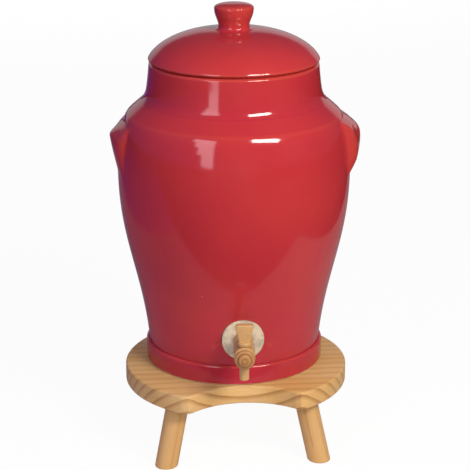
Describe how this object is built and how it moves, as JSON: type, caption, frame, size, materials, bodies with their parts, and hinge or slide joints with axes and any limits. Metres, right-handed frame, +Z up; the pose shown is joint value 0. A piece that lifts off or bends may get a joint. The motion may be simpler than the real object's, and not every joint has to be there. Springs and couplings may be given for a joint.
{
  "type": "vinegar crock",
  "caption": "Lidded red stoneware vinegar crock with side lugs and a wooden plug tap in a cork, standing on a round pine stand with splayed legs and a cut-out for a glass.",
  "frame": {"origin": "on the floor, below the centre of the seat board", "axes": "+Z up, -Y forwards to the tap, +X to the right as seen from the front"},
  "size_m": [0.214, 0.2249, 0.3765],
  "materials": {
    "red_glaze": "glossy red glaze over stoneware",
    "pine": "satin clear varnish on pine",
    "tap_wood": "bare turned hardwood",
    "cork": "bare natural cork"
  },
  "bodies": {
    "stand": {"seat_board": "pine", "leg_front_left": "pine", "leg_front_right": "pine", "leg_back_left": "pine", "leg_back_right": "pine"},
    "crock": {"crock_body": "red_glaze", "left_lug": "red_glaze", "right_lug": "red_glaze", "cork_bung": "cork", "tap_barrel": "tap_wood", "key_bush": "cork"},
    "lid": {"lid": "red_glaze"},
    "key": {"tap_key": "tap_wood"}
  },
  "joints": [
    {"name": "crock_lift", "type": "slide", "parent": "stand", "child": "crock", "axis": [0, 0, 1], "range_m": [0, 0.1]},
    {"name": "lid_lift", "type": "slide", "parent": "crock", "child": "lid", "axis": [0, 0, 1], "range_m": [0, 0.1]},
    {"name": "key_turn", "type": "hinge", "parent": "crock", "child": "key", "pos_m": [-0.00227, -0.0971, 0.1105], "axis": [0, 0, 1], "continuous": true}
  ]
}
